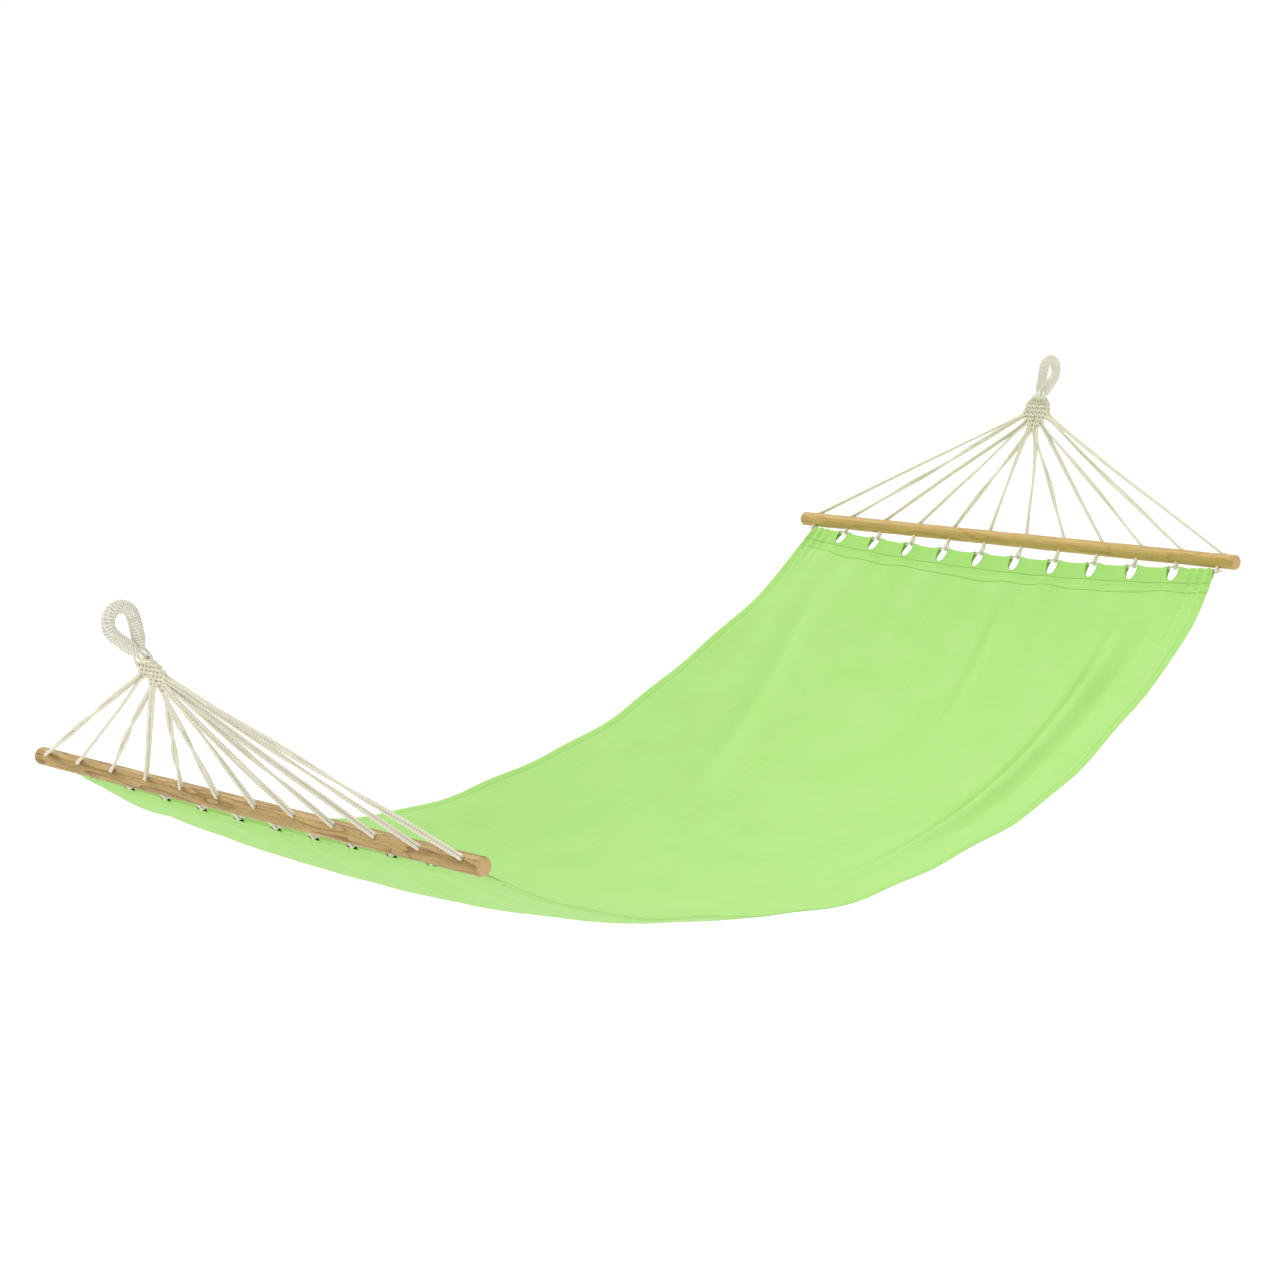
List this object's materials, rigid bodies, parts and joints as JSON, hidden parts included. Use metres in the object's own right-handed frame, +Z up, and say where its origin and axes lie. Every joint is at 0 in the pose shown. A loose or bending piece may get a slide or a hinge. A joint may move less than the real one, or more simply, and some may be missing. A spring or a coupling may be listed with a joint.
{
  "type": "spreader bar hammock",
  "caption": "Canvas hammock hung between two drilled spreader bars, with braided cord lines gathered into a woven clew and a served rope eye at each end.",
  "frame": {"origin": "where the head hook bears on the inside of the crown of the head eye, with the hammock hung level and empty", "axes": "+X along the hammock from the head hook to the foot hook, +Y across it along the spreader bars, +Z up"},
  "size_m": [2.4221, 1.09, 0.7691],
  "materials": {
    "wood": "satin",
    "cord": "matte",
    "twine": "matte",
    "canvas": "matte"
  },
  "bodies": {
    "hung_eyes": {"head_eye_rope": "cord", "head_eye_serving": "twine", "foot_eye_rope": "cord", "foot_eye_serving": "twine"},
    "head_end": {"head_clew": "cord", "head_line_01": "cord", "head_line_02": "cord", "head_line_03": "cord", "head_line_04": "cord", "head_line_05": "cord", "head_line_06": "cord", "head_line_07": "cord", "head_line_08": "cord", "head_line_09": "cord", "head_line_10": "cord", "head_line_11": "cord", "head_line_12": "cord", "head_spreader_bar": "wood", "head_hem_cord": "cord", "bed": "canvas"},
    "foot_end": {"foot_clew": "cord", "foot_line_01": "cord", "foot_line_02": "cord", "foot_line_03": "cord", "foot_line_04": "cord", "foot_line_05": "cord", "foot_line_06": "cord", "foot_line_07": "cord", "foot_line_08": "cord", "foot_line_09": "cord", "foot_line_10": "cord", "foot_line_11": "cord", "foot_line_12": "cord", "foot_spreader_bar": "wood", "foot_hem_cord": "cord"}
  },
  "joints": [
    {"name": "swing", "type": "hinge", "parent": "hung_eyes", "child": "head_end", "pos_m": [0.03174, 0, -0.06507], "axis": [1, 0, 0], "range_deg": [-45, 45]},
    {"name": "twist", "type": "hinge", "parent": "head_end", "child": "foot_end", "pos_m": [2.32239, 0, -0.06507], "axis": [1, 0, 0], "range_deg": [-25, 25], "deforming": ["bed"]}
  ]
}
